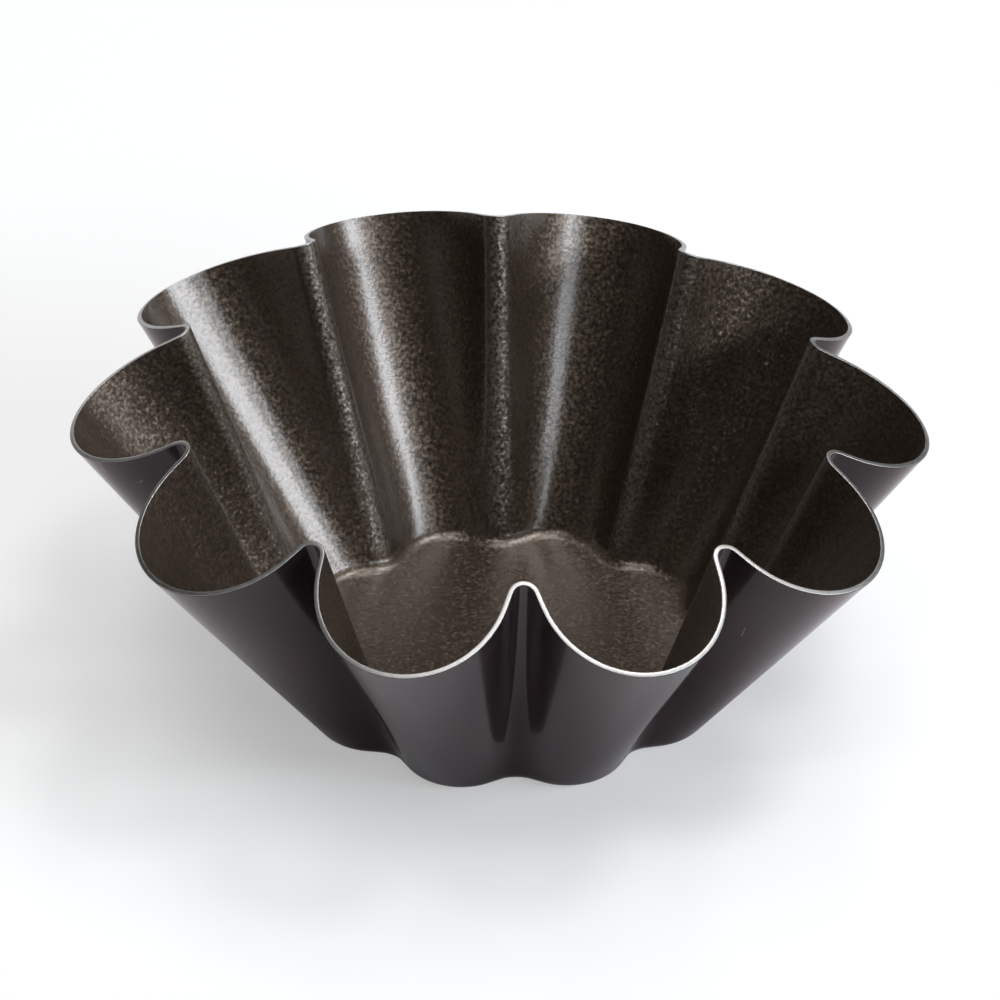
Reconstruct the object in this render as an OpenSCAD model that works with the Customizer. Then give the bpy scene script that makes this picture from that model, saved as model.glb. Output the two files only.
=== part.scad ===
// Fluted brioche mould, pressed in one piece from a round blank of coated sheet steel.
// The sheet is a stack of three bonded layers: a lacquer outside, the steel, and a
// non-stick lining inside. Nothing is trimmed after pressing, so the rim is the
// blank's own edge: it stands higher at the folds than at the tips of the lobes.
// Origin: middle of the base's underside. +Z is up. Millimetres and degrees.

/* [Rim] */
// Number of lobes round the wall
lobe_count = 10; // [8:1:12]
// Diameter over the tips of the lobes at the rim
rim_diameter = 100; // [92:1:115]
// Diameter between the crests of the folds at the rim
rim_fold_diameter = 77.8; // [72:0.2:84]
// Outside radius of each fold at the rim
rim_fold_radius = 1.3; // [1:0.1:3]
// Straight stretch of wall between a lobe's arc and a fold's arc at the rim
rim_flank = 1.6; // [0.6:0.1:3]
// Height of the rim at the tips of the lobes
rim_height = 32.4; // [26:0.2:42]
// How much higher than the tips the rim stands at the folds
rim_rise = 6.1; // [0:0.1:9]

/* [Base] */
// Diameter over the lobes where the wall meets the base
base_diameter = 52; // [50:0.2:60]
// Diameter between the folds where the wall meets the base
base_fold_diameter = 47.4; // [42:0.2:49]
// Outside radius of each fold at the base
base_fold_radius = 4; // [3:0.1:7]
// How late the folds open on the way down from the rim: 1 is evenly, 3 is mostly near the base
fold_opening = 3; // [1:0.5:4]
// Straight stretch of wall between a lobe's arc and a fold's arc at the base
base_flank = 1.7; // [0.6:0.1:3]
// Inside radius of the bend between the base and the wall
bend_radius = 2; // [0.8:0.1:3]

/* [Sheet] */
// Thickness of the steel
steel_thickness = 0.5; // [0.4:0.05:0.8]
// Thickness of the non-stick lining on the inside
lining_thickness = 0.05; // [0.03:0.01:0.1]
// Thickness of the lacquer on the outside
lacquer_thickness = 0.05; // [0.03:0.01:0.1]

/* [Blank] */
// How far the blank lay off centre in the press, which makes one side of the wall longer
blank_offset = 1.8; // [0:0.1:3]
// Side on which the wall is longer, as an angle from +X
blank_direction = 201; // [0:1:359]

/* [Hidden] */

half_pitch = 180 / lobe_count;

// Depths below the outer face at which one layer of the sheet ends and the next begins
lacquer_depth = lacquer_thickness;
steel_depth = lacquer_depth + steel_thickness;
sheet_thickness = steel_depth + lining_thickness;
outer_bend_radius = bend_radius + sheet_thickness;

// Facets: steps of half a lobe's arc, of half a fold's arc, of the bend, and up the wall
lobe_steps = 6;
fold_steps = 2;
bend_steps = 3;
wall_steps = 4;
fold_index = lobe_steps + 1 + fold_steps;
lobe_points = 2 * fold_index;
outline_points = lobe_count * lobe_points;

function mix(low, high, level) = low + (high - low) * level;
function unit(v) = v / norm(v);
function along(angle) = [cos(angle), sin(angle)];

// The outer face in plan at a level of the wall: 0 is the base and 1 is the rim
function tip_radius(level) = mix(base_diameter, rim_diameter, level) / 2;
function fold_radius(level) = mix(base_fold_diameter, rim_fold_diameter, level) / 2;
function fold_arc(level) =
    mix(rim_fold_radius, base_fold_radius, pow(max(0, 1 - level), fold_opening));
function flank(level) = mix(base_flank, rim_flank, level);
function fold_centre(level) = (fold_radius(level) + fold_arc(level)) * along(half_pitch);

// Radius of the lobe's arc that leaves exactly the flank between it and the fold's arc
function lobe_arc(level) =
    let (inset = tip_radius(level) - fold_centre(level).x, side = fold_centre(level).y)
    (pow(inset, 2) + pow(side, 2) - pow(fold_arc(level), 2) - pow(flank(level), 2))
        / (2 * (inset + fold_arc(level)));

// Direction that the flank faces, which is also how far round the lobe's arc runs
function flank_facing(level) =
    let (reach = fold_centre(level) - [tip_radius(level) - lobe_arc(level), 0])
    atan2(reach.y, reach.x) - atan2(flank(level), lobe_arc(level) + fold_arc(level));

// Half a lobe in plan, from its tip on +X round to the fold: the way it faces, and its points
function half_facing(step, level) =
    step <= lobe_steps
        ? flank_facing(level) * step / lobe_steps
        : mix(flank_facing(level), half_pitch, (step - lobe_steps - 1) / fold_steps);
function half_point(step, level) =
    step <= lobe_steps
        ? [tip_radius(level) - lobe_arc(level), 0]
            + lobe_arc(level) * along(half_facing(step, level))
        : fold_centre(level) - fold_arc(level) * along(half_facing(step, level));

// The same all the way round: point i lies on lobe floor(i / lobe_points)
function lobe_angle(i) = floor(i / lobe_points) * 2 * half_pitch;
function half_step(i) = i % lobe_points - fold_index;
function facing(i, level) =
    lobe_angle(i) + sign(half_step(i)) * half_facing(abs(half_step(i)), level);
function plan_point(i, level) =
    let (p = half_point(abs(half_step(i)), level), side = sign(half_step(i)) * p.y)
    p.x * along(lobe_angle(i)) + side * along(lobe_angle(i) + 90);

// The outer face in space: a level rises in step with how far in from the tips it lies
function rise_per_mm(level) = level * rim_rise / (tip_radius(level) - fold_radius(level));
function wall_point(i, level) =
    let (p = plan_point(i, level))
    [p.x, p.y, level * rim_height + rise_per_mm(level) * (tip_radius(level) - norm(p))];

// Outward normal of the wall: square to the outline and to the way the wall climbs
function wall_normal(i, level) =
    let (p = plan_point(i, level),
         round_plan = along(facing(i, level) + 90),
         round_wall = [round_plan.x, round_plan.y, -rise_per_mm(level) * (round_plan * unit(p))],
         step = 0.01)
    unit(cross(round_wall, wall_point(i, level + step) - wall_point(i, level - step)));

// Level at which the blank's edge ends the wall, a little past 1 on the blank's long side
function rim_level(i) =
    let (p = wall_point(i, 1))
    1 + blank_offset * (unit([p.x, p.y]) * along(blank_direction))
        / norm(p - wall_point(i, 0));

// Bend between the base and the wall: an arc about a centre inside the mould,
// which turns the wall's normal down to the base's
function bend_point(i, share, depth) =
    let (n = wall_normal(i, 0),
         turn = acos(-n.z),
         p = plan_point(i, 0) - outer_bend_radius * tan(turn / 2) * along(facing(i, 0)),
         arm = (sin(turn * share) * n + sin(turn * (1 - share)) * [0, 0, -1]) / sin(turn))
    [p.x, p.y, outer_bend_radius] + (outer_bend_radius - depth) * arm;

// Rings of points on the face that lies a depth inside the outer face: the bend's from
// the base outwards, then the wall's up to the rim
function ring(k, depth) =
    [for (i = [0:outline_points - 1])
        k <= bend_steps
            ? bend_point(i, k / bend_steps, depth)
            : let (level = rim_level(i) * (k - bend_steps) / wall_steps)
                wall_point(i, level) - depth * wall_normal(i, level)];
function face_points(depth) =
    [[0, 0, depth], for (k = [0:bend_steps + wall_steps]) each ring(k, depth)];

// Triangles of such a face: a fan over the base, then bands between the rings
ring_total = bend_steps + wall_steps + 1;
face_total = 1 + ring_total * outline_points;
function at(k, i) = 1 + k * outline_points + i % outline_points;
face_triangles =
    [for (i = [0:outline_points - 1])
        each [[0, at(0, i), at(0, i + 1)],
              for (k = [0:ring_total - 2])
                  each [[at(k, i), at(k + 1, i), at(k, i + 1)],
                        [at(k, i + 1), at(k + 1, i), at(k + 1, i + 1)]]]];
rim_triangles =
    [for (i = [0:outline_points - 1])
        let (outer = at(ring_total - 1, i), next = at(ring_total - 1, i + 1))
        each [[outer, outer + face_total, next],
              [next, outer + face_total, next + face_total]]];

function flipped(triangle) = [triangle[2], triangle[1], triangle[0]];
function lifted(triangle) = [for (p = triangle) p + face_total];

// One layer of the sheet, between two depths below the outer face
module sheet_layer(outer_depth, inner_depth) {
    polyhedron(
        points = concat(face_points(outer_depth), face_points(inner_depth)),
        faces = concat(
            face_triangles,
            [for (t = face_triangles) flipped(lifted(t))],
            rim_triangles));
}

module outer_lacquer() {
    color([0.20, 0.18, 0.19])
        sheet_layer(0, lacquer_depth);
}

module steel_sheet() {
    color([0.82, 0.83, 0.84])
        sheet_layer(lacquer_depth, steel_depth);
}

module nonstick_lining() {
    color([0.19, 0.16, 0.14])
        sheet_layer(steel_depth, sheet_thickness);
}

outer_lacquer();
steel_sheet();
nonstick_lining();
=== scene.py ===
import bpy
import numpy as np
from mathutils import Matrix, Vector


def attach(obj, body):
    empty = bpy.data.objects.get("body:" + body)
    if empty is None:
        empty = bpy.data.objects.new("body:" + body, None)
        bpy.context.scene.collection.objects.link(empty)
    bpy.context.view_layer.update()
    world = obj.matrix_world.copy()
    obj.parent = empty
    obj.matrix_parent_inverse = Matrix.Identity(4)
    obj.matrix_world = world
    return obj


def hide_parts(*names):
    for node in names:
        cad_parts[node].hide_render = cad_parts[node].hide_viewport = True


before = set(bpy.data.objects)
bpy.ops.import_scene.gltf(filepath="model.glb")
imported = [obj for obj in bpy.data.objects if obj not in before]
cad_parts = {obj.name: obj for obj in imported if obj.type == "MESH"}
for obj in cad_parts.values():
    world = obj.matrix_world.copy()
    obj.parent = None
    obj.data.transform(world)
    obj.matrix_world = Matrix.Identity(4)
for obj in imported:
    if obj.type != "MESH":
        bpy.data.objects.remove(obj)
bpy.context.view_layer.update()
scene = bpy.context.scene
mm = 0.001
print("frame loaded:", ", ".join(sorted(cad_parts)))


# The form of the pressing

# Sizes in millimetres and degrees, the same as in the part's source. Diameters are of the outer face.
mould = {
    "lobes": 10,
    "rimDiameter": 100.0,       # over the lobe tips at the rim
    "rimFoldDiameter": 77.8,    # over the bottoms of the folds at the rim
    "rimFoldRadius": 1.3,       # of the fold, measured on the outer face
    "rimFlank": 1.6,            # straight stretch between fold and lobe
    "rimHeight": 32.4,          # at a lobe tip
    "rimRise": 6.1,             # by how much the rim stands higher at a fold
    "baseDiameter": 52.0,
    "baseFoldDiameter": 47.4,
    "baseFoldRadius": 4.0,
    "foldOpening": 3.0,         # how late the folds open on the way down: 1 evenly, 3 mostly near the base
    "baseFlank": 1.7,
    "bendRadius": 2.0,          # inside radius where wall and floor meet
    "steel": 0.5,
    "lining": 0.05,
    "lacquer": 0.05,
    "blankOffset": 1.8,         # how far the round blank lay off centre in the press
    "blankDirection": 201.0,
}

# How finely each face is drawn
mesh = {
    "columnsPerLobe": 80,
    "lobeShare": 0.62,          # share of a half lobe's columns on the big arc
    "flankShare": 0.08,         # and on the straight flank, the rest being the fold
    "wallRows": 44,
    "bendRows": 8,
    "floorRows": 5,
    "hiddenWallRows": 14,       # on a face that lies against the next layer
    "easing": 0.03,             # in lobes: how far each way the joints between arcs and flanks are eased
    "easingPoints": 9,          # points of the outline that go into each mean
    "slopeStep": 0.004,         # in lobes and in levels: how far each way from a point its slope is taken
    "sharpAngle": 50,           # an edge that turns by more degrees than this is drawn sharp
    "mapPerMetre": 10,
}

halfPitch = np.pi / mould["lobes"]
sheet = mould["steel"] + mould["lining"] + mould["lacquer"]
outerBend = mould["bendRadius"] + sheet


def mix(low, high, share):
    return low + (high - low) * share


# A slice through half a lobe is a big arc, a straight flank and a fold arc, each tangent to the next.
# All its sizes change evenly from the base (level 0) to the rim (level 1), except that the fold arc
# stays tight for most of the height and opens with a power of the distance below the rim.
def section(level):
    tip = mix(mould["baseDiameter"], mould["rimDiameter"], level) / 2
    fold = mix(mould["baseFoldDiameter"], mould["rimFoldDiameter"], level) / 2
    opening = np.maximum(1 - level, 0) ** mould["foldOpening"]
    foldArc = mix(mould["rimFoldRadius"], mould["baseFoldRadius"], opening)
    flank = mix(mould["baseFlank"], mould["rimFlank"], level)
    centreX = (fold + foldArc) * np.cos(halfPitch)
    centreY = (fold + foldArc) * np.sin(halfPitch)
    inset = tip - centreX
    lobeArc = (inset**2 + centreY**2 - foldArc**2 - flank**2) / (2 * (inset + foldArc))
    turn = np.arctan2(centreY, centreX - tip + lobeArc) - np.arctan2(flank, lobeArc + foldArc)
    return tip, fold, foldArc, centreX, centreY, lobeArc, turn


# Point of the outline: around counts lobes, whole numbers are lobe tips and halves are folds
def sharpPlan(around, level):
    tip, fold, foldArc, centreX, centreY, lobeArc, turn = section(level)
    lobe = np.round(around)
    side = np.where(around < lobe, -1.0, 1.0)
    half = np.abs(around - lobe) * 2
    flankEnd = mesh["lobeShare"] + mesh["flankShare"]
    onLobe = np.clip(half / mesh["lobeShare"], 0, 1)
    onFlank = np.clip((half - mesh["lobeShare"]) / mesh["flankShare"], 0, 1)
    onFold = np.clip((half - flankEnd) / (1 - flankEnd), 0, 1)
    face = np.where(onFold > 0, mix(turn, halfPitch, onFold), turn * onLobe)
    lobeX = tip - lobeArc + lobeArc * np.cos(turn * onLobe)
    lobeY = lobeArc * np.sin(turn * onLobe)
    joinX = centreX - foldArc * np.cos(turn)
    joinY = centreY - foldArc * np.sin(turn)
    x = np.where(onFold > 0, centreX - foldArc * np.cos(face), mix(lobeX, joinX, onFlank))
    y = np.where(onFold > 0, centreY - foldArc * np.sin(face), mix(lobeY, joinY, onFlank)) * side
    angle = lobe * 2 * halfPitch
    return x * np.cos(angle) - y * np.sin(angle), x * np.sin(angle) + y * np.cos(angle)


# Sheet metal doesn't bend with a jump, so each point is a weighted mean of the outline close to it
def plan(around, level):
    reach = np.linspace(-1, 1, mesh["easingPoints"] + 2)[1:-1]
    weight = (1 - reach**2) ** 2 / np.sum((1 - reach**2) ** 2)
    near = [sharpPlan(around + mesh["easing"] * away, level) for away in reach]
    x = sum(part * point[0] for part, point in zip(weight, near))
    y = sum(part * point[1] for part, point in zip(weight, near))
    return x, y


# The wall's outer face: the outline at each level, lifted towards the folds as the rim is
def wallPoint(around, level):
    x, y = plan(around, level)
    tip, fold = section(level)[:2]
    lift = level * mould["rimRise"] / (tip - fold) * (tip - np.hypot(x, y))
    return np.stack([x, y, level * mould["rimHeight"] + lift], axis=-1)


# Its outward normal: the way round the outline crossed with the way up the wall
def wallNormal(around, level):
    step = mesh["slopeStep"]
    onward = wallPoint(around + step, level) - wallPoint(around - step, level)
    climb = wallPoint(around, level + step) - wallPoint(around, level - step)
    normal = np.cross(onward, climb)
    return normal / np.linalg.norm(normal, axis=-1, keepdims=True)


# Length of the wall from the base up to a level
def wallRun(around, level):
    return np.linalg.norm(wallPoint(around, level) - wallPoint(around, np.zeros_like(around)), axis=-1)


# Rows of the wall at several levels, each point its depth inside the outer face along the normal
def wallFace(around, levels, depth):
    everyAround = np.broadcast_to(around, levels.shape)
    return wallPoint(everyAround, levels) - depth * wallNormal(everyAround, levels)


# The edge of the round blank: the wall runs on or stops short, by where the blank lay in the press
def rimLevel(around):
    top = wallPoint(around, np.ones_like(around))
    heading = np.arctan2(top[:, 1], top[:, 0])
    longer = mould["blankOffset"] * np.cos(heading - np.radians(mould["blankDirection"]))
    return 1 + longer / wallRun(around, np.ones_like(around))


# One face of the sheet, as rows of points from the middle of the floor up to the rim.
# The floor is flat, the bend is an arc tangent to floor and wall, and every face lies its depth
# inside the outer one, along the normal. The last row stops short of the blank's edge by short,
# and an extra row lies at each distance in spare below it.
def faceRows(around, depth, wallRows, short=0.0, spare=()):
    zero = np.zeros_like(around)
    foot = wallNormal(around, zero)
    bendTurn = np.arccos(-foot[:, 2])
    back = outerBend * np.tan(bendTurn / 2)
    along = foot * np.array([1.0, 1.0, 0.0]) / np.sin(bendTurn)[:, None]
    centre = wallPoint(around, zero) - back[:, None] * along
    centre[:, 2] = outerBend
    down = np.array([0.0, 0.0, -1.0])
    radius = outerBend - depth

    share = np.linspace(0, 1, mesh["bendRows"] + 1)[:, None, None]
    swing = bendTurn[None, :, None]
    heading = (np.sin((1 - share) * swing) * down + np.sin(share * swing) * foot) / np.sin(swing)
    bend = centre + radius * heading

    floorShare = np.linspace(0, 1, mesh["floorRows"] + 1)[1:-1, None, None]
    floor = bend[0] * np.array([1.0, 1.0, 0.0]) * floorShare + np.array([0.0, 0.0, bend[0, 0, 2]])

    top = rimLevel(around)
    run = wallRun(around, top)
    start = back / run
    rows = np.linspace(0, 1, wallRows + 1)[1:]
    levels = start + rows[:, None] * (top - short / run - start)
    for near in spare:
        levels = np.vstack([levels[:-1], top - (short + near) / run, levels[-1:]])
    return np.concatenate([floor, bend, wallFace(around, levels, depth)])


# A closed skin: the outer face from the floor's middle to the rim, over the rim rows if there are any,
# and down the inner face to the floor's middle again, as a grid with a pole at each end
def skin(name, outerRows, innerRows, rimRows=None):
    parts = [outerRows, innerRows[::-1]]
    if rimRows is not None:
        parts.insert(1, rimRows)
    grid = np.concatenate(parts) * mm
    rows, columns = grid.shape[:2]
    poles = np.array([[0.0, 0.0, outerRows[0, 0, 2] * mm], [0.0, 0.0, innerRows[0, 0, 2] * mm]])
    points = np.concatenate([grid.reshape(-1, 3), poles])

    row = np.arange(rows - 1)[:, None] * columns
    here = np.arange(columns)[None, :]
    ahead = (here + 1) % columns
    quads = np.stack([row + here, row + ahead, row + columns + ahead, row + columns + here], axis=-1)
    quads = quads.reshape(-1, 4)
    ring = np.arange(columns)
    onward = (ring + 1) % columns
    last = (rows - 1) * columns
    first = np.stack([np.full(columns, rows * columns), onward, ring], axis=-1)
    final = np.stack([np.full(columns, rows * columns + 1), last + ring, last + onward], axis=-1)

    # distance from the floor's middle along the grid's rows, and place round the mould, as a map
    steps = np.linalg.norm(np.diff(grid, axis=0), axis=-1).mean(axis=1)
    length = np.concatenate([[np.hypot(*grid[0, :, :2].T).mean()], steps]).cumsum()
    mapV = np.repeat(length, columns).reshape(rows, columns) * mesh["mapPerMetre"]
    mapU = np.linspace(0, 1, columns, endpoint=False)
    nextU = np.append(mapU[1:], 1.0)
    quadU = np.broadcast_to(np.stack([mapU, nextU, nextU, mapU], axis=-1), (rows - 1, columns, 4))
    quadV = np.stack([mapV[:-1], mapV[:-1], mapV[1:], mapV[1:]], axis=-1)
    quadMap = np.stack([quadU, quadV], axis=-1).reshape(-1, 2)
    between = (mapU + nextU) / 2
    firstMap = np.stack([between, between * 0, nextU, mapV[0], mapU, mapV[0]], axis=-1).reshape(-1, 2)
    finalV = mapV[-1] * 0 + 2 * mapV[-1, 0] - mapV[-2, 0]
    finalMap = np.stack([between, finalV, mapU, mapV[-1], nextU, mapV[-1]], axis=-1).reshape(-1, 2)

    data = bpy.data.meshes.new(name)
    data.from_pydata(points.tolist(), [], quads.tolist() + first.tolist() + final.tolist())
    layer = data.uv_layers.new(name="sheetMap")
    layer.data.foreach_set("uv", np.concatenate([quadMap, firstMap, finalMap]).ravel())
    data.shade_smooth()
    data.set_sharp_from_angle(angle=np.radians(mesh["sharpAngle"]))
    data.update()
    piece = bpy.data.objects.new(name, data)
    scene.collection.objects.link(piece)
    return piece


columns = mould["lobes"] * mesh["columnsPerLobe"]
around = np.arange(columns) / mesh["columnsPerLobe"]
print("outline worked out:", columns, "columns")


# Nodes

def feed(tree, socket, value):
    if isinstance(value, bpy.types.NodeSocket):
        tree.links.new(value, socket)
    else:
        socket.default_value = value


# A node with its settings and its inputs, which go by name, or by number as i0 and i1
def addNode(tree, kind, settings=None, **inputs):
    node = tree.nodes.new(kind)
    for key, value in (settings or {}).items():
        setattr(node, key, value)
    for key, value in inputs.items():
        feed(tree, node.inputs[int(key[1:]) if key[1:].isdigit() else key], value)
    return node


def noise(tree, place, scale, detail, roughness=0.5):
    return addNode(tree, "ShaderNodeTexNoise", Vector=place, Scale=scale, Detail=detail,
                   Roughness=roughness)


def maths(tree, operation, first, second=0.5, clamp=False):
    settings = {"operation": operation, "use_clamp": clamp}
    return addNode(tree, "ShaderNodeMath", settings, i0=first, i1=second).outputs[0]


# A value carried from one span to another, evenly or with a soft start and end
def rescale(tree, value, fromLow, fromHigh, toLow=0.0, toHigh=1.0, soft=False):
    settings = {"interpolation_type": "SMOOTHSTEP" if soft else "LINEAR"}
    spans = {"From Min": fromLow, "From Max": fromHigh, "To Min": toLow, "To Max": toHigh}
    return addNode(tree, "ShaderNodeMapRange", settings, Value=value, **spans).outputs[0]


# The Mix node keeps a set of sockets for each kind of value, so its colours are found by their kind
def blend(tree, share, first, second):
    node = addNode(tree, "ShaderNodeMix", {"data_type": "RGBA"}, Factor=share)
    ends = [socket for socket in node.inputs if socket.type == "RGBA" and socket.enabled]
    feed(tree, ends[0], first)
    feed(tree, ends[1], second)
    return [socket for socket in node.outputs if socket.type == "RGBA" and socket.enabled][0]


def newGroup(name, inputs, outputs):
    group = bpy.data.node_groups.new(name, "ShaderNodeTree")
    for label, kind, value in inputs:
        socket = group.interface.new_socket(name=label, in_out="INPUT", socket_type=kind)
        if value is not None:
            socket.default_value = value
    for label, kind in outputs:
        group.interface.new_socket(name=label, in_out="OUTPUT", socket_type=kind)
    return group, group.nodes.new("NodeGroupInput"), group.nodes.new("NodeGroupOutput")


def useGroup(tree, group, **inputs):
    node = tree.nodes.new("ShaderNodeGroup")
    node.node_tree = group
    for key, value in inputs.items():
        feed(tree, node.inputs[key], value)
    return node


# Shared effects, as node groups

# Noise of the flecks, and the span of its values over which their tone changes
flecks = {
    "detail": 1.0,
    "roughness": 0.6,
    "low": 0.3,
    "high": 0.7,
}


# Flecks: a fine noise whose value is a tone and whose colour tilts the surface a little, like flakes
def fleckGroup():
    group, given, result = newGroup(
        "fleck",
        [("Vector", "NodeSocketVector", None), ("Size", "NodeSocketFloat", 0.0003),
         ("Tilt", "NodeSocketFloat", 0.3)],
        [("Tone", "NodeSocketFloat"), ("Normal", "NodeSocketVector")])
    scale = maths(group, "DIVIDE", 1.0, given.outputs["Size"])
    grain = noise(group, given.outputs["Vector"], scale, flecks["detail"], flecks["roughness"])
    tone = rescale(group, grain.outputs["Fac"], flecks["low"], flecks["high"])
    offset = addNode(group, "ShaderNodeVectorMath", {"operation": "SUBTRACT"}, i0=grain.outputs["Color"],
                     i1=(0.5, 0.5, 0.5))
    lean = addNode(group, "ShaderNodeVectorMath", {"operation": "SCALE"}, i0=offset.outputs[0],
                   Scale=given.outputs["Tilt"])
    surface = addNode(group, "ShaderNodeNewGeometry")
    tilted = addNode(group, "ShaderNodeVectorMath", {"operation": "ADD"}, i0=surface.outputs["Normal"],
                     i1=lean.outputs[0])
    normal = addNode(group, "ShaderNodeVectorMath", {"operation": "NORMALIZE"}, i0=tilted.outputs[0])
    feed(group, result.inputs["Tone"], tone)
    feed(group, result.inputs["Normal"], normal.outputs[0])
    return group


# Scratches: the lines along which a broad noise has its middle value, drawn thin, and kept only in
# the patches where a second noise is high
def scratchGroup():
    group, given, result = newGroup(
        "scratch",
        [("Vector", "NodeSocketVector", None), ("Scale", "NodeSocketFloat", 40.0),
         ("Width", "NodeSocketFloat", 0.02), ("PatchScale", "NodeSocketFloat", 95.0),
         ("PatchLevel", "NodeSocketFloat", 0.6)],
        [("Mask", "NodeSocketFloat")])
    broad = noise(group, given.outputs["Vector"], given.outputs["Scale"], 1.0, 0.4)
    away = maths(group, "ABSOLUTE", maths(group, "SUBTRACT", broad.outputs["Fac"], 0.5))
    line = rescale(group, away, 0.0, given.outputs["Width"], 1.0, 0.0)
    where = noise(group, given.outputs["Vector"], given.outputs["PatchScale"], 2.0)
    patch = maths(group, "GREATER_THAN", where.outputs["Fac"], given.outputs["PatchLevel"])
    feed(group, result.inputs["Mask"], maths(group, "MULTIPLY", line, patch))
    return group


fleck = fleckGroup()
scratch = scratchGroup()
print("node groups built")


# Materials

def newMaterial(name):
    material = bpy.data.materials.new(name)
    material.use_nodes = True
    place = material.node_tree.nodes.new("ShaderNodeTexCoord")
    return material, material.node_tree, place.outputs["Object"]


# The material's shader, with each input set to a value or fed by a node
def shade(tree, values):
    shader = tree.nodes["Principled BSDF"]
    for label, value in values.items():
        feed(tree, shader.inputs[label], value)


# Non-stick lining: brown-black coating full of fine flecks, under a satin clear top
lining = {
    "dark": (0.060, 0.042, 0.030, 1),
    "light": (0.118, 0.084, 0.059, 1),
    "metallic": 0.70,
    "fleckSize": 0.00045,
    "fleckTilt": 0.80,
    "roughness": 0.42,
    "coatRoughness": 0.23,
    "coatIor": 1.5,
    "coatAtEdge": 0.15,         # share of the clear top's sheen left where it is seen edge-on
    "sheenFrom": 0.45,          # how far turned away, from 0 to 1, the sheen begins to fade
    "sheenTo": 0.9,             # and has faded
    "coatGrain": 0.00002,       # height of the flecks under the clear top, in metres
    # painted highlight: a lighter colour laid along the fold crests
    "ridgeHighlight": (0.25, 0.218, 0.190, 1),
    "crestWidth": 0.14,         # half width of the painted highlight line on each fold, in lobes
    "crestFoot": 0.0016,        # height in metres where that line begins to show, full at twice as much
}


# Fold crests get a painted highlight, a lighter colour along each crest. The map's first value runs once
# round the mould, so times the number of lobes it is halfway between whole numbers on a fold. The floor has
# no line, so the line fades in with height, and it shows on the light flecks.
def crestMask(tree, place, tone):
    sheetMap = addNode(tree, "ShaderNodeUVMap", {"uv_map": "sheetMap"})
    turn = addNode(tree, "ShaderNodeSeparateXYZ", Vector=sheetMap.outputs["UV"]).outputs["X"]
    part = maths(tree, "FRACT", maths(tree, "MULTIPLY", turn, float(mould["lobes"])))
    away = maths(tree, "ABSOLUTE", maths(tree, "SUBTRACT", part, 0.5))
    near = rescale(tree, away, 0.0, lining["crestWidth"], 1.0, 0.0, soft=True)
    height = addNode(tree, "ShaderNodeSeparateXYZ", Vector=place).outputs["Z"]
    wall = rescale(tree, height, lining["crestFoot"], lining["crestFoot"] * 2, soft=True)
    return maths(tree, "MULTIPLY", maths(tree, "MULTIPLY", near, wall), tone)


def liningMaterial():
    material, tree, place = newMaterial("fleckedNonstick")
    fine = useGroup(tree, fleck, Vector=place, Size=lining["fleckSize"], Tilt=lining["fleckTilt"])
    tone = blend(tree, fine.outputs["Tone"], lining["dark"], lining["light"])
    # painted highlight along the fold crests, mixed into the lining's colour
    ridgeLit = blend(tree, crestMask(tree, place, fine.outputs["Tone"]), tone, lining["ridgeHighlight"])
    grain = noise(tree, place, 1 / lining["fleckSize"], flecks["detail"], flecks["roughness"])
    ripple = addNode(tree, "ShaderNodeBump", Height=grain.outputs["Fac"], Strength=1.0,
                     Distance=lining["coatGrain"])
    turned = addNode(tree, "ShaderNodeLayerWeight", Blend=0.5)
    sheen = rescale(tree, turned.outputs["Facing"], lining["sheenFrom"], lining["sheenTo"], 1.0,
                    lining["coatAtEdge"])
    shade(tree, {
        "Base Color": ridgeLit,
        "Normal": fine.outputs["Normal"],
        "Metallic": lining["metallic"],
        "Roughness": lining["roughness"],
        "Coat Normal": ripple.outputs["Normal"],
        "Coat Weight": sheen,
        "Coat Roughness": lining["coatRoughness"],
        "Coat IOR": lining["coatIor"],
    })
    return material


# Outside lacquer: smooth, nearly black brown, with a gloss that mirrors the table softly
lacquer = {
    "base": (0.016, 0.0115, 0.0130, 1),
    "warm": (0.026, 0.0140, 0.0135, 1),
    "scratched": (0.14, 0.12, 0.12, 1),
    "edgeTint": (0.97, 0.84, 0.91, 1),
    "metallic": 0.3,
    "glossy": 0.08,             # roughness where it is clean
    "smudged": 0.16,            # and where it is smudged
    "ior": 1.45,
    "cloudScale": 70.0,
    "smudgeScale": 45.0,
    "spanLow": 0.35,            # values of both noises between which one look turns into the other
    "spanHigh": 0.65,
    "scratchScale": 55.0,
    "scratchWidth": 0.004,
    "patchScale": 95.0,
    "patchLevel": 0.62,         # the higher, the fewer scratches
}


def lacquerMaterial():
    material, tree, place = newMaterial("darkLacquer")
    cloud = noise(tree, place, lacquer["cloudScale"], 3.0)
    patch = rescale(tree, cloud.outputs["Fac"], lacquer["spanLow"], lacquer["spanHigh"])
    tone = blend(tree, patch, lacquer["base"], lacquer["warm"])
    lines = useGroup(tree, scratch, Vector=place, Scale=lacquer["scratchScale"],
                     Width=lacquer["scratchWidth"], PatchScale=lacquer["patchScale"],
                     PatchLevel=lacquer["patchLevel"])
    smudge = noise(tree, place, lacquer["smudgeScale"], 2.0, 0.6)
    gloss = rescale(tree, smudge.outputs["Fac"], lacquer["spanLow"], lacquer["spanHigh"],
                    lacquer["glossy"], lacquer["smudged"])
    shade(tree, {
        "Base Color": blend(tree, lines.outputs["Mask"], tone, lacquer["scratched"]),
        "Roughness": gloss,
        "Metallic": lacquer["metallic"],
        "IOR": lacquer["ior"],
        "Specular Tint": lacquer["edgeTint"],
    })
    return material


# Bare steel, seen only where the blank was cut, with the fine grain of the shear in its roughness
steel = {
    "colour": (0.52, 0.51, 0.50, 1),
    "smoothest": 0.28,
    "roughest": 0.53,
    "grainScale": 2600.0,
}


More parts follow.
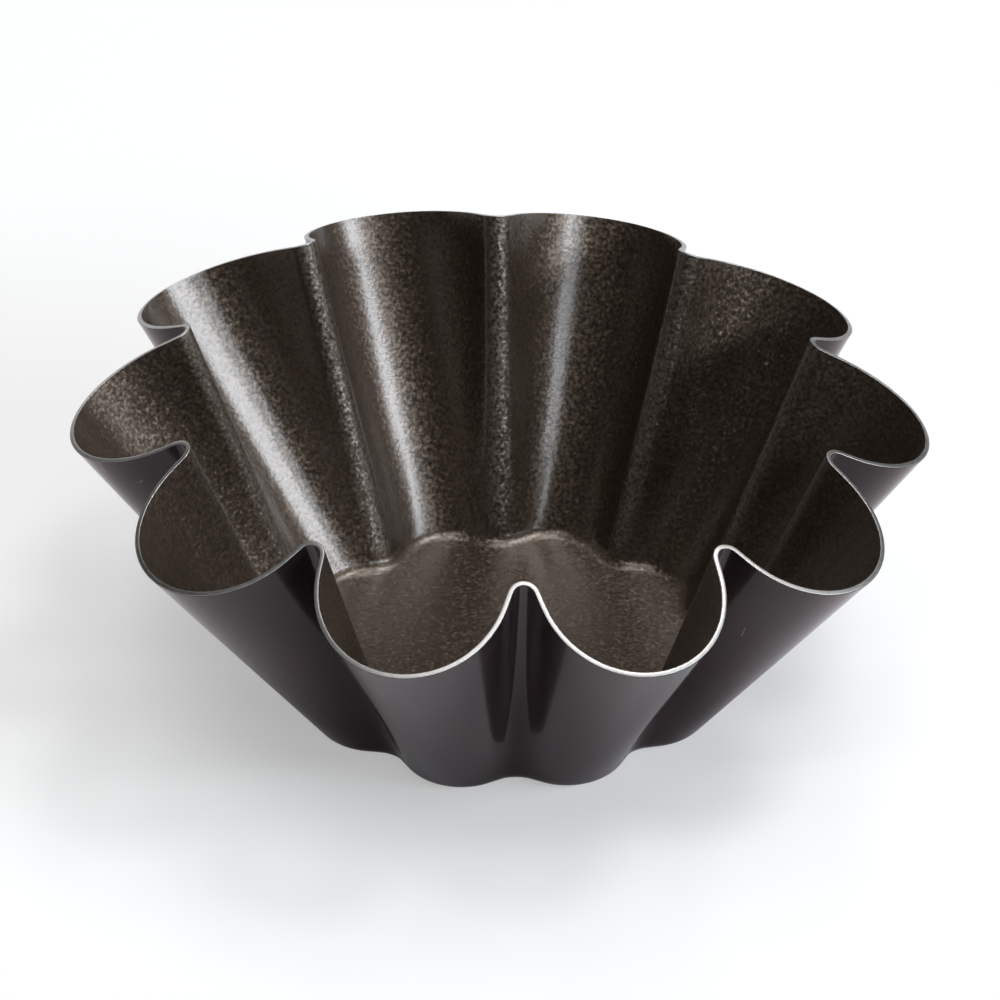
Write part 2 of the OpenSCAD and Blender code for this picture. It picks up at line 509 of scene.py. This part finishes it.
def steelMaterial():
    material, tree, place = newMaterial("cutSteel")
    shear = noise(tree, place, steel["grainScale"], 2.0)
    shade(tree, {
        "Base Color": steel["colour"],
        "Metallic": 1.0,
        "Roughness": rescale(tree, shear.outputs["Fac"], 0.0, 1.0, steel["smoothest"], steel["roughest"]),
    })
    return material


# The three layers

# The cut edge of the blank, in millimetres
edge = {
    "coatShort": 0.05,          # the coats chip back this far from the cut
    "coatRow": 0.04,            # below the coats' last row, an extra one that keeps their corner crisp
    "burr": 0.06,               # rounding of the cut steel's corners
    "steelShort": 1.5,          # the steel's faces stop at this many times that rounding from the cut
    "turnPoints": 5,            # on each rounded corner
}
hidden = mesh["hiddenWallRows"]
visible = mesh["wallRows"]
lacquerInner = mould["lacquer"]
steelInner = lacquerInner + mould["steel"]


# Rounded cut: quarter turns at both corners of the steel, between its outer and its inner depth
def cutRows(around, outerDepth, innerDepth):
    top = rimLevel(around)
    quarter = np.linspace(0, np.pi / 2, edge["turnPoints"])
    opening = edge["burr"] * (1 - np.sin(quarter))
    closing = edge["burr"] * (1 - np.cos(quarter))
    down = np.concatenate([opening, closing])
    depths = np.concatenate([outerDepth + closing, innerDepth - opening])
    levels = top - down[:, None] / wallRun(around, top)
    return wallFace(around, levels, depths[:, None, None])


lacquerSkin = skin("outerLacquer",
                   faceRows(around, 0.0, visible, edge["coatShort"], spare=(edge["coatRow"],)),
                   faceRows(around, lacquerInner, hidden, edge["coatShort"]))
steelSkin = skin("steelSheet",
                 faceRows(around, lacquerInner, hidden, edge["burr"] * edge["steelShort"]),
                 faceRows(around, steelInner, hidden, edge["burr"] * edge["steelShort"]),
                 cutRows(around, lacquerInner, steelInner))
liningSkin = skin("nonstickLining",
                  faceRows(around, steelInner, hidden, edge["coatShort"]),
                  faceRows(around, sheet, visible, edge["coatShort"], spare=(edge["coatRow"],)))

for piece, node, slot, material in (
        (lacquerSkin, "outer_lacquer", "outer_lacquer", lacquerMaterial()),
        (steelSkin, "steel_sheet", "bare_steel", steelMaterial()),
        (liningSkin, "nonstick_lining", "nonstick_lining", liningMaterial())):
    piece.data.materials.append(material)
    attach(piece, "root")
    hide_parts(node)
    print("layer", piece.name, len(piece.data.polygons), "faces")


# Camera, at the photograph's viewing angle

view = {
    "azimuth": -2.559,
    "elevation": 34.536,
    "roll": 0.537,
    "distance": 0.9215,
    "lens": 285.53,
    "sensor": 36.0,
    "frame": 1000.0,            # side of the square picture, in its own pixels
    "across": 509.29,           # where the point on the mould's axis lands in it
    "down": 436.07,
    "height": 0.0324,           # of that point above the table
    "clipStart": 0.01,
    "clipEnd": 20,
}


# The camera looks at a point on the axis, is rolled about its own view line, and is then turned
# a little so that the point lands off the middle of the picture
def addCamera():
    azimuth = np.radians(view["azimuth"])
    elevation = np.radians(view["elevation"])
    roll = np.radians(view["roll"])
    back = np.array([np.sin(azimuth) * np.cos(elevation), -np.cos(azimuth) * np.cos(elevation),
                     np.sin(elevation)])
    right = np.array([np.cos(azimuth), np.sin(azimuth), 0.0])
    up = np.cross(back, right)
    right, up = np.cos(roll) * right + np.sin(roll) * up, np.cos(roll) * up - np.sin(roll) * right
    target = np.array([0.0, 0.0, view["height"]])
    place = target + view["distance"] * back
    perPixel = view["distance"] * view["sensor"] / (view["lens"] * view["frame"])
    middle = view["frame"] / 2
    aim = target + (right * (middle - view["across"]) - up * (middle - view["down"])) * perPixel
    back = (place - aim) / np.linalg.norm(place - aim)
    right = right - back * right.dot(back)
    right = right / np.linalg.norm(right)
    up = np.cross(back, right)
    camera = bpy.data.cameras.new("camera")
    camera.lens = view["lens"]
    camera.sensor_width = view["sensor"]
    camera.clip_start = view["clipStart"]
    camera.clip_end = view["clipEnd"]
    holder = bpy.data.objects.new("camera", camera)
    turn = np.stack([right, up, back], axis=-1)
    holder.matrix_world = Matrix.Translation(Vector(place)) @ Matrix(turn.tolist()).to_4x4()
    scene.collection.objects.link(holder)
    scene.camera = holder


addCamera()
print("camera placed")


# Table and light

studio = {
    "tableSize": 6.0,
    "table": (0.9, 0.9, 0.9, 1),
    "tableSeen": (0.50, 0.50, 0.50, 1),
    "liftNear": 0.12,           # glow of the table as seen under the mould, lowered there as a painted shadow where the flare keeps light off
    "liftShown": 0.42,          # the same under the mould as seen straight by the camera
    "liftFar": 0.55,            # and out in the open, where it keeps the shadows light
    "nearReach": 0.028,         # distances from the axis between which it changes, in metres
    "farReach": 0.048,
    "surround": 0.02,           # brightness of the dim room
    "horizon": 0.5,             # and of the white wall low around it
    "wallTop": 0.05,            # sine of the elevation at which that wall has faded out
}

# Soft lamps by name: azimuth, elevation, distance, width, height, brightness, and red and green beside
# a full blue
lamps = {
    "keyStrip": (-27, 27.5, 2.4, 1.58, 0.36, 20.9, 0.86, 0.93),
    "keyEnd": (-58, 27, 2.4, 0.50, 0.30, 11.0, 0.86, 0.93),
    "frontStrip": (-85, 70, 2.4, 1.94, 0.26, 5.5, 1.0, 1.0),
    "topPatch": (0, 70, 2.4, 0.50, 0.50, 14.0, 1.0, 1.0),
    "backStrip": (84, 76, 2.4, 0.41, 1.90, 4.3, 1.0, 1.0),
    "rightStrip": (33.8, 63.4, 2.4, 0.91, 0.40, 6.0, 1.0, 1.0),
    "sideWindow": (100, 19, 2.4, 2.20, 0.70, 1.5, 1.0, 1.0),
}


# The camera and mirroring surfaces see the table pale and softly glowing, other light sees it matt
def addTable():
    half = studio["tableSize"] / 2
    data = bpy.data.meshes.new("table")
    data.from_pydata([(-half, -half, 0), (half, -half, 0), (half, half, 0), (-half, half, 0)], [],
                     [(0, 1, 2, 3)])
    table = bpy.data.objects.new("table", data)
    scene.collection.objects.link(table)
    material = bpy.data.materials.new("paleTable")
    material.use_nodes = True
    tree = material.node_tree
    tree.nodes.clear()
    matt = addNode(tree, "ShaderNodeBsdfDiffuse", Color=studio["table"])
    shaded = addNode(tree, "ShaderNodeBsdfDiffuse", Color=studio["tableSeen"])
    place = addNode(tree, "ShaderNodeTexCoord")
    reach = addNode(tree, "ShaderNodeVectorMath", {"operation": "LENGTH"}, i0=place.outputs["Object"])
    path = addNode(tree, "ShaderNodeLightPath")
    under = rescale(tree, path.outputs["Is Camera Ray"], 0.0, 1.0, studio["liftNear"], studio["liftShown"])
    # the glow is lowered near the mould, a painted shadow under its flare
    lift = rescale(tree, reach.outputs["Value"], studio["nearReach"], studio["farReach"], under,
                   studio["liftFar"], soft=True)
    glow = addNode(tree, "ShaderNodeEmission", Color=(1, 1, 1, 1), Strength=lift)
    both = addNode(tree, "ShaderNodeAddShader", i0=shaded.outputs[0], i1=glow.outputs[0])
    straight = maths(tree, "ADD", path.outputs["Is Camera Ray"], path.outputs["Is Glossy Ray"])
    seen = maths(tree, "ADD", straight, path.outputs["Is Transmission Ray"], clamp=True)
    pick = addNode(tree, "ShaderNodeMixShader", i0=seen, i1=matt.outputs[0], i2=both.outputs[0])
    addNode(tree, "ShaderNodeOutputMaterial", Surface=pick.outputs[0])
    table.data.materials.append(material)


# The room is dim, with a white wall low around the table that fades out upwards
def addWorld():
    world = bpy.data.worlds.new("studio")
    world.use_nodes = True
    scene.world = world
    tree = world.node_tree
    backdrop = tree.nodes["Background"]
    place = addNode(tree, "ShaderNodeTexCoord")
    height = addNode(tree, "ShaderNodeSeparateXYZ", Vector=place.outputs["Generated"]).outputs["Z"]
    fade = rescale(tree, height, 0.0, studio["wallTop"], studio["horizon"], studio["surround"], soft=True)
    feed(tree, backdrop.inputs["Color"], (1, 1, 1, 1))
    feed(tree, backdrop.inputs["Strength"], fade)


# A lamp faces the mould, and its power follows from its area and how bright its face is to be
def addLamp(name, azimuth, elevation, distance, width, height, brightness, red, green):
    light = bpy.data.lights.new(name, "AREA")
    light.shape = "RECTANGLE"
    light.size = width
    light.size_y = height
    light.energy = brightness * np.pi * width * height
    light.color = (red, green, 1.0)
    lamp = bpy.data.objects.new(name, light)
    azimuth, elevation = np.radians(azimuth), np.radians(elevation)
    heading = Vector((np.cos(azimuth) * np.cos(elevation), np.sin(azimuth) * np.cos(elevation),
                      np.sin(elevation)))
    lamp.location = heading * distance
    lamp.rotation_euler = heading.to_track_quat("Z", "Y").to_euler()
    scene.collection.objects.link(lamp)


addTable()
addWorld()
for name, values in lamps.items():
    addLamp(name, *values)
scene.view_settings.view_transform = "Standard"
print("table and lamps placed")
